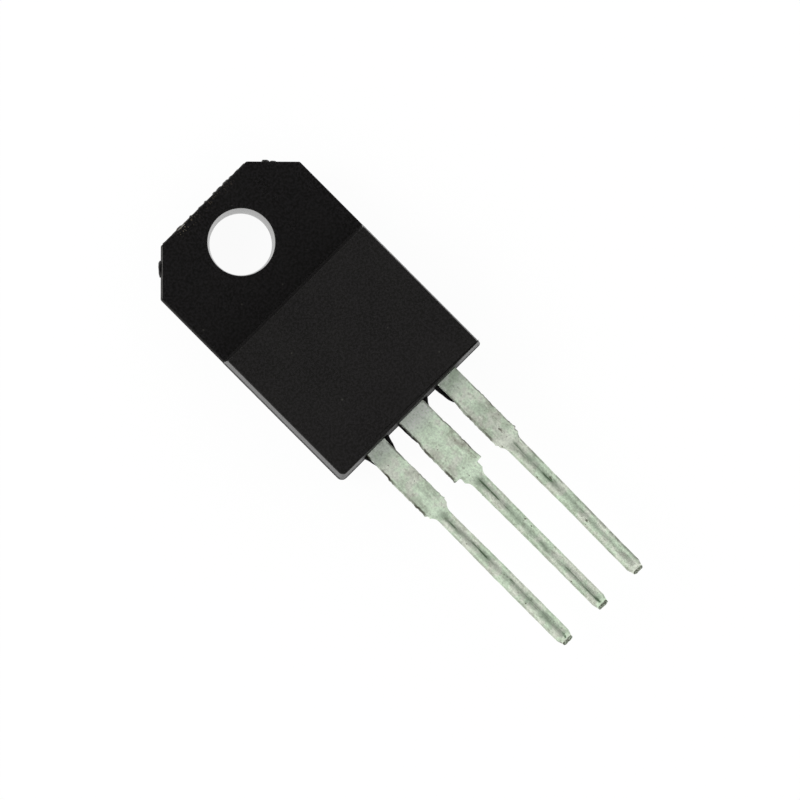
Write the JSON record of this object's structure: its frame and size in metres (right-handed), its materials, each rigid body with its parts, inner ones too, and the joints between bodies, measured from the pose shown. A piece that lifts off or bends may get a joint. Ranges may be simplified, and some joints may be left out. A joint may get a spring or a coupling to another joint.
{
  "type": "schottky diode",
  "caption": "Schottky rectifier in a fully moulded black epoxy package: thick block, thinner tab with a screw hole and cut corners, and flat tinned leads in a row.",
  "frame": {"origin": "on the axis of the screw hole, in the flat back face of the case", "axes": "+Z out of the front face, +Y towards the end of the tab, so the leads run towards -Y; X lies across the package"},
  "size_m": [0.01, 0.0289, 0.0046],
  "materials": {
    "case_epoxy": "matte black moulding epoxy, fine grain",
    "tinned_copper": "solder-dipped tin over stamped copper, dull greenish grey",
    "silicon": "polished silicon with a metal top",
    "solder": "dull solder",
    "bare_copper": "bare stamped copper"
  },
  "bodies": {
    "root": {"moulded_case": "case_epoxy", "cathode_frame": "tinned_copper", "anode_lead_left": "tinned_copper", "anode_lead_right": "tinned_copper", "schottky_die_left": "silicon", "schottky_die_right": "silicon", "die_solder_left": "solder", "die_solder_right": "solder", "contact_clip_left": "bare_copper", "contact_clip_right": "bare_copper", "clip_to_chip_solder_left": "solder", "clip_to_chip_solder_right": "solder", "clip_to_lead_solder_left": "solder", "clip_to_lead_solder_right": "solder"}
  },
  "joints": []
}
